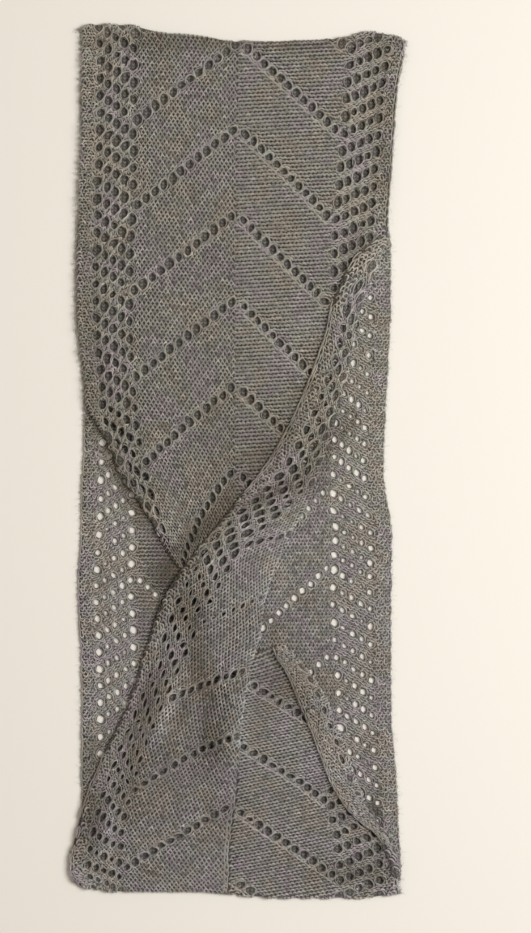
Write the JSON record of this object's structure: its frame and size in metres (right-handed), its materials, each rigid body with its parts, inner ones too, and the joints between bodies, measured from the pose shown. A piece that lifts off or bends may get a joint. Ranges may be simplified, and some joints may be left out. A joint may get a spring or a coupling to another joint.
{
  "type": "infinity scarf",
  "caption": "Wide lace-knitted loop scarf with a half twist, laid flat, with one end of the twist crossing over the front and a folded border flap",
  "frame": {"origin": "bottom centre of the laid scarf's box, on the surface it lies on", "axes": "+Z up from the surface, +Y along the scarf to the end with no crossing, +X to the right as seen from above with +Y up"},
  "size_m": [0.269, 0.7004, 0.0097],
  "materials": {
    "back_layer_yarn": "matt",
    "upper_front_yarn": "matt",
    "crossing_yarn": "matt",
    "lower_right_yarn": "matt",
    "flap_yarn": "matt"
  },
  "bodies": {
    "root": {"back_layer": "back_layer_yarn", "upper_front": "upper_front_yarn", "crossing": "crossing_yarn", "lower_right": "lower_right_yarn", "flap": "flap_yarn"}
  },
  "joints": []
}
